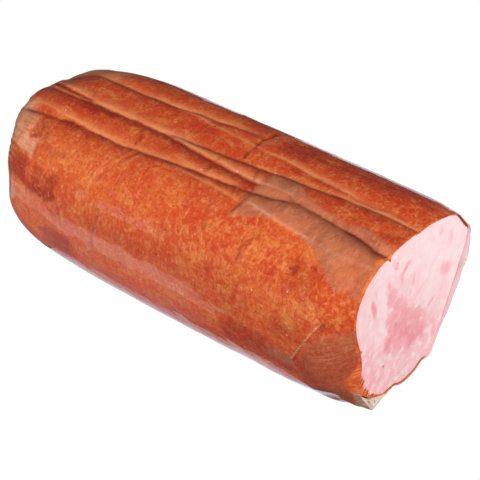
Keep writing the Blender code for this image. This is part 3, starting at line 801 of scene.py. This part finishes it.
def skin_finish():
    """Smoked skin under a clear, glossy casing, with painted highlights and painted shade along its creases.
    """
    finish = Finish("smoked_skin", IOR=1.45, Coat_IOR=1.5, Coat_Roughness=0.08)
    place = finish.place()
    out, around, top, low, near_rim = finish.facts("out", "round", "top", "low", "near_rim")
    pale_and_highlight, dark, film, brown, red = finish.facts("pale_and_highlight", "dark", "film", "brown", "red")
    orange, burnt, clear, shaded = finish.facts("orange", "burnt", "clear", "shaded")
    inside, edging, frayed = finish.facts("inside", "edging", "frayed")
    chart = finish.node("ShaderNodeCombineXYZ", {}, {0: out, 1: around})

    broad = finish.clouds(place, 26)
    patches = finish.clouds(place, 10, 5, 0.62, 0.9)
    blotches = finish.clouds(place, 4.4, 5, 0.64, 0.7)
    grain = finish.clouds(place, 1.5, 3, 0.6, 0.3)
    along = finish.clouds(finish.stretched(chart, (0, 0, 0.05), (0.12, 1, 1)), 1.3, 4, 0.6, 0.3)
    slanting = finish.stretched(chart, (0, 0, 0.6), (1, 0.3, 1))
    fibres = finish.clouds(slanting, 1.6, 4, 0.6, 0.5)
    curls = finish.clouds(place, 4.2, 2, 0.5, 1.8)
    curls = (1 - 13 * (curls - 0.5).size()).or_more(0) * patches.between(0.4, 0.58)
    threads = finish.clouds(slanting, 3.4, 2, 0.5, 1.4)
    threads = (1 - 16 * (threads - 0.47).size()).or_more(0) * blotches.between(0.42, 0.6)
    glint_specks = finish.dots(place, 12).between(0.06, 0.025)
    flecks = finish.dots(place, 5.5).between(0.09, 0.03) * patches.between(0.44, 0.54)
    pits = finish.dots(finish.stretched(place, (0.3, 0.2, 0.1)), 9).between(0.085, 0.03)
    covered = (film.or_more(brown) * (0.55 + 0.85 * patches)).at_most(1)
    bare = 1 - 0.8 * covered
    uneven = (0.5 * along + 0.5 * blotches).between(0.42, 0.6)
    near_side = around.between(0.15, 0.178) * around.between(0.332, 0.304)
    mottled = 1 - 0.45 * out.between(0.085, 0.135) - 0.2 * top
    veiled = finish.tinted(
        finish.mix((197, 115, 78), (172, 91, 59), patches.between(0.42, 0.6)),
        ((150, 80, 58), broad.between(0.5, 0.62) * 0.35),
        ((209, 145, 110), fibres.between(0.5, 0.68) * 0.5),
        ((216, 152, 118), curls * 0.2))
    ended = finish.mix((234, 168, 128), (212, 128, 92), uneven)
    fanned = 0.45 * along + 0.3 * fibres + 0.25 * blotches
    clouded = finish.tinted(
        finish.mix((156, 68, 45), (190, 104, 74), fanned.between(0.42, 0.6)),
        ((134, 54, 36), low.or_more(top) * 0.5))
    ridge_tint_and_highlight = finish.mix((234, 150, 95), (228, 166, 134), film.at_most(1))
    charred = finish.tinted(
        finish.mix((238, 126, 60), (204, 72, 30), uneven),
        ((190, 66, 32), low * along.between(0.5, 0.62)))
    edge = (burnt + 0.9 * (along - 0.5) + 0.3 * (blotches - 0.5)).between(0.34, 0.66)
    tongue = finish.mix((196, 158, 140), (150, 104, 86), along.between(0.4, 0.6))
    hanging = finish.mix((224, 203, 186), (176, 136, 112), blotches.between(0.5, 0.66))
    lined = finish.tinted(
        finish.mix((222, 188, 192), (192, 168, 176), broad.between(0.42, 0.6)),
        (hanging, frayed),
        ((224, 126, 76), near_rim),
        ((208, 142, 112), near_rim * around.between(0.228, 0.24)))
    skin = finish.tinted(
        finish.mix((199, 70, 25), (209, 95, 39), broad.between(0.36, 0.64)),
        # The top, the near side, the underside and the brighter smoke
        ((196, 49, 9), top * 0.62),
        ((240, 88, 36), near_side * 0.5),
        ((238, 66, 22), low * 0.5),
        ((190, 68, 5), orange * 0.65),
        # The mottling, from patches to fibres and flecks, with redder patches and painted shade by the
        # pleats
        ((194, 66, 29), patches.between(0.5, 0.66) * 0.4),
        ((222, 136, 66), patches.between(0.5, 0.36) * 0.5),
        ((224, 136, 76), blotches.between(0.5, 0.62) * mottled * 0.55),
        ((182, 44, 18), blotches.between(0.47, 0.36) * mottled * 0.65),
        # redder patches and marks, and painted shade in the pleats' valleys
        ((148, 26, 13), (red * (0.45 + 0.6 * patches)).at_most(0.85)),
        # painted shade beside the pleats and in the folds
        ((120, 38, 20), shaded * (0.1 + 0.8 * patches) * 0.6),
        ((176, 44, 20), grain.between(0.52, 0.66) * 0.5),
        ((232, 146, 96), fibres.between(0.54, 0.72) * 0.26),
        ((236, 150, 94), curls * 0.1),
        ((234, 170, 138), grain.between(0.46, 0.32) * blotches.between(0.38, 0.56) * 0.28),
        ((152, 34, 18), threads * 0.35),
        ((238, 184, 158), flecks * 0.2),
        # The film that stands off with painted shade in its folds, painted highlights and painted shade
        # along the creases, the marks, small painted glints, the burnt rim and the film's inner face
        (veiled, film.at_most(1) * covered * 0.9),
        (ended, film * out.between(0.205, 0.216) * 0.8),
        # painted shade in the folds of the film
        ((112, 56, 36), shaded * film * 0.6),
        (clouded, brown * (1 - film) * 0.75),
        # paler stretched film with a painted highlight along the crests
        (ridge_tint_and_highlight, (pale_and_highlight * (0.15 + along)).at_most(0.82)),
        # a whitish painted highlight along the brightest creases
        ((242, 204, 194), pale_and_highlight.between(0.96, 1.2) * 0.9),
        # painted shade in the creases, and the dark marks
        ((104, 24, 13), (dark * (1.3 * patches + 0.5 * blotches - 0.2)).at_most(0.85)),
        # small painted glints on the bare skin
        ((246, 200, 172), glint_specks * 0.5 * bare),
        ((118, 26, 16), pits * 0.75 * bare),
        (charred, edge * burnt.between(0, 0.2) * 0.85),
        (tongue, clear),
        (lined, inside),
        ((150, 100, 92), edging * (1 - near_rim) * 0.6))

    relief = grain * 0.4 + blotches * 0.6 + fibres * 0.35 + along * (0.3 + 0.6 * covered)
    finish.feed(Base_Color=skin, Roughness=0.42 + 0.2 * grain - 0.08 * film,
                Coat_Weight=(0.35 + 0.9 * along).at_most(1),
                Normal=finish.bumped(relief * (0.35 + 0.65 * bare), 0.0005))
    return finish.material


# Specks in the cut: across and up from the log's middle (mm), radius (mm) and colour
SPECKS = (
    (-18.7, -21.6, 0.7, (176, 44, 34)), (-3.6, -35.6, 0.6, (226, 128, 84)),
    (-11, 40.4, 0.6, (222, 84, 84)), (-12.2, 37.6, 0.4, (226, 96, 96)),
)


def cut_finish():
    """Pink cooked meat: pale and fatty with darker muscle, and a thin smoked rim."""
    finish = Finish("cut_meat", IOR=1.4, Coat_Weight=0.2, Coat_Roughness=0.3, Coat_IOR=1.4,
                    Subsurface_Weight=0.2, Subsurface_Scale=0.003, Subsurface_Radius=(1, 0.4, 0.35))
    place = finish.place()
    muscle, smoked, inward, around = finish.facts("muscle", "smoked", "inward", "round")
    chart = finish.node("ShaderNodeCombineXYZ", {}, {0: inward * 0.15, 1: around})
    torn_edge = finish.clouds(chart, 1.4, 3, 0.6, 0.2)
    streaks = finish.clouds(finish.stretched(place, (0.35, 0, 0), (1, 1, 0.75)), 6, 4, 0.6, 0.5)
    cells = finish.clouds(place, 13, 3, 0.5, 0.6)
    fine = finish.clouds(place, 1.6, 3, 0.6)
    torn = muscle + 1.1 * (streaks - 0.5) * muscle + 0.8 * (fine - 0.5) * muscle
    meat = finish.tinted(
        finish.mix((251, 219, 219), (249, 204, 206), streaks.between(0.42, 0.64) * 0.5),
        ((248, 192, 196), cells.between(0.48, 0.66) * 0.4),
        ((246, 176, 181), torn.between(0, 0.6)),
        ((235, 142, 151), torn.between(0.5, 1.25)),
        ((255, 236, 232), fine.between(0.58, 0.74) * 0.3))
    for y, z, reach, spot in SPECKS:
        off = finish.node("ShaderNodeVectorMath", {"operation": "DISTANCE"},
                          {0: place, 1: (shift[0], y * MM, REST_LEVEL + z * MM)}, output="Value")
        meat = finish.mix(meat, spot, off.between(1.4 * reach * MM, 0.6 * reach * MM) * 0.85)
    burnt = finish.tinted(
        finish.mix((238, 130, 66), (184, 68, 32), torn_edge.between(0.42, 0.6)),
        ((150, 54, 28), around.between(0.056, 0.044) * 0.8),
        ((136, 42, 22), smoked.between(0.93, 0.99) * 0.75),
        ((206, 132, 100), around.between(0.228, 0.24) * 0.7))
    edge = (smoked + torn_edge - 0.5).between(0.4, 0.62) * smoked.between(0, 0.2)
    finish.feed(Base_Color=finish.mix(meat, burnt, edge), Roughness=0.5 - 0.15 * fine,
                Normal=finish.bumped(streaks * 0.6 + fine * 0.4, 0.0002))
    return finish.material


# The studio

# The white cards that the casing mirrors, flat on the floor: how bright, and their corners (mm). Three
# end to end in front, and a faint one between them and the log
CARDS = (
    (0.67, ((-118, -107), (-126, -116), (-141, -133), (-156, -140), (-180, -151), (-217, -154),
        (-214, -127), (-219, -86), (-213, -34), (-170, -20), (-167, -65), (-149, -83), (-118, -86))),
    (0.98, ((-9, -94), (-28, -100), (-73, -102), (-110, -106), (-118, -107), (-118, -86), (-106, -80),
        (-95, -75), (-31, -76), (-9, -76))),
    (0.7, ((22, -79), (13, -83), (2, -88), (-9, -94), (-9, -76), (23, -76))),
    (0.2, ((-9, -75.5), (12, -67), (22, -52), (0, -48), (-92, -46.5), (-137, -2), (-143, 12), (-165, -20),
        (-164, -65), (-148, -81), (-117, -84), (-106, -78), (-95, -74.5))),
)

# One that stands in front on the left, across and up
STANDING_CARD = [(x * MM, -0.35, z * MM) for x, z in ((-252, 30), (-182, 30), (-182, 130), (-252, 130))]

# A little cool: three strips under the log's lower near edge, and four cards behind its far edge
RIM_CARDS = (
    (0.7, ((-92, -46), (-9, -47), (30, -45.5), (45, -48), (53.5, -50), (75, -46), (88, -41), (100, -39),
        (108, -34), (100, -35.6), (88, -36.1), (75, -41.1), (56.5, -45.1), (45, -43.6), (30, -40.6),
        (-9, -41.1), (-95, -40.1))),
    (1, ((-95, -40), (-9, -41), (30, -40.5), (45, -43.5), (56.5, -45), (75, -41), (88, -36), (100, -35.5),
        (108, -33.8), (114, -29), (100, -31.8), (88, -30.5), (75, -35), (59.5, -39.5), (45, -37.5),
        (30, -33.5), (-9, -34), (-98.5, -33))),
    (1.15, ((-132, 30), (-98.5, -32.9), (-9, -33.9), (30, -33.4), (45, -37.4), (59.5, -39.4), (75, -34.9),
        (88, -30.4), (100, -31.7), (114, -28.9), (120, -15), (124, 30))),
    (1.15, ((200, 95), (-30, 95), (-49, 144), (-82, 208), (-112, 263), (-163, 356), (-96, 450), (200, 450))),
    (0.75, ((-30.5, 95), (-49.5, 144), (-82.5, 208), (-97, 235), (-143, 232), (-127, 205), (-106, 169),
        (-83, 122), (-71, 95))),
    (0.95, ((-72, 95), (-84, 122), (-107, 169), (-128, 205), (-159, 260), (-200, 330), (-235, 300),
        (-195, 258), (-142, 168), (-116, 121), (-103, 95))),
    (0.75, ((-103.5, 95), (-116.5, 121), (-142.5, 168), (-195.5, 257), (-225, 255), (-175, 166),
        (-148, 120), (-136, 95))),
)
WHITE = (1, 1, 1, 1)
COOL_WHITE = (0.82, 0.88, 1, 1)


def stage_sheet(name, corners, brightness, seen_by, glow=WHITE):
    """A flat white sheet that only glows, and only for what it is seen by."""
    white = Finish(name, Base_Color=(0, 0, 0, 1), Specular_IOR_Level=0, Emission_Color=glow,
                   Emission_Strength=brightness)
    mesh = bpy.data.meshes.new(name)
    mesh.from_pydata(corners, [], [range(len(corners))])
    mesh.materials.append(white.material)
    sheet = placed(name, mesh)
    for seer in ("camera", "diffuse", "glossy", "transmission", "shadow"):
        setattr(sheet, "visible_" + seer, seer == seen_by)


def square(reach, height):
    return [(x * reach, y * reach, height) for x, y in ((-1, -1), (1, -1), (1, 1), (-1, 1))]


def lying(corners):
    return [(x * MM, y * MM, 0) for x, y in corners]


def way_out(azimuth, elevation):
    """The way out from the log; azimuth 0 is in front (-Y) and 90 at +X."""
    a, e = math.radians(azimuth), math.radians(elevation)
    return Vector((math.sin(a) * math.cos(e), -math.cos(a) * math.cos(e), math.sin(e)))


def softbox(name, azimuth, elevation, distance, width, height, power):
    """An area light aimed at the log, of so many watts, that nothing mirrors."""
    away = way_out(azimuth, elevation)
    lamp = bpy.data.lights.new(name, "AREA")
    lamp.shape = "RECTANGLE"
    lamp.size, lamp.size_y, lamp.energy = width, height, power
    light = placed(name, lamp)
    light.location = Vector((0, 0, 0.05)) + away * distance
    light.rotation_euler = (-away).to_track_quat("-Z", "Y").to_euler()
    light.visible_glossy = False


def make_studio():
    stage_sheet("floor", square(8, 0), 1, "camera")
    stage_sheet("bounce", square(0.9, -0.0002), 0.4, "diffuse")
    for number, (brightness, corners) in enumerate(CARDS):
        stage_sheet(f"white_card_{number}", lying(corners), brightness, "glossy")
    stage_sheet(f"white_card_{len(CARDS)}", STANDING_CARD, 1.15, "glossy")
    for number, (brightness, corners) in enumerate(RIM_CARDS):
        stage_sheet(f"rim_card_{number}", lying(corners), brightness, "glossy", COOL_WHITE)
    world = bpy.data.worlds.new("studio")
    bpy.context.scene.world = world
    world.use_nodes = True
    sky = world.node_tree.nodes["Background"]
    sky.inputs["Color"].default_value = WHITE
    sky.inputs["Strength"].default_value = 0.05
    softbox("key", 20, 40, 1.3, 0.6, 0.6, 12)
    softbox("side_fill", 98, 22, 1.3, 0.5, 0.5, 12)
    softbox("front_fill", -8, 10, 1.3, 0.9, 0.4, 3.5)
    softbox("top_fill", 200, 75, 1.4, 1.2, 1.2, 3)
    softbox("left_fill", -65, 30, 1.4, 0.8, 0.8, 6)


# The camera: how it looks at the point of the axis halfway along the log, and where that point
# falls in a frame 480 wide and high
CAMERA_AZIMUTH = 39.18
CAMERA_ELEVATION = 36.37
CAMERA_DISTANCE = 1.2
FRAME_SIZE = 480
FOCAL = 2225.6
AIM_ACROSS = 213.3
AIM_DOWN = 222.6


def make_camera():
    back = way_out(CAMERA_AZIMUTH, CAMERA_ELEVATION)
    right = way_out(CAMERA_AZIMUTH + 90, 0)
    up = back.cross(right)
    half = FRAME_SIZE / 2
    ahead = (-back * FOCAL + right * (half - AIM_ACROSS) - up * (half - AIM_DOWN)).normalized()
    across = ahead.cross(up).normalized()
    above = across.cross(ahead)
    data = bpy.data.cameras.new("camera")
    data.sensor_width = 36
    data.lens = FOCAL / FRAME_SIZE * data.sensor_width
    data.clip_start, data.clip_end = 0.05, 60
    camera = placed("camera", data)
    aim = Vector((-LENGTH / 2, 0, 0)) + Vector(shift)
    turn = Matrix((across, above, -ahead)).transposed().to_4x4()
    camera.matrix_world = Matrix.Translation(aim + back * CAMERA_DISTANCE) @ turn
    bpy.context.scene.camera = camera


# Putting it together

angles = column_angles()
meat_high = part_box("meat")[1]
shift = np.array([meat_high.x, 0, REST_LEVEL])

make_camera()
make_studio()
skin, skin_rows, skin_normal = make_skin(angles)
meat = make_meat(angles, skin_rows, skin_normal)
skin.data.materials.append(skin_finish())
meat.data.materials.append(cut_finish())
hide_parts("casing")
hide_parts("meat")
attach(skin, "root")
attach(meat, "root")
bpy.context.scene.view_settings.view_transform = "Standard"
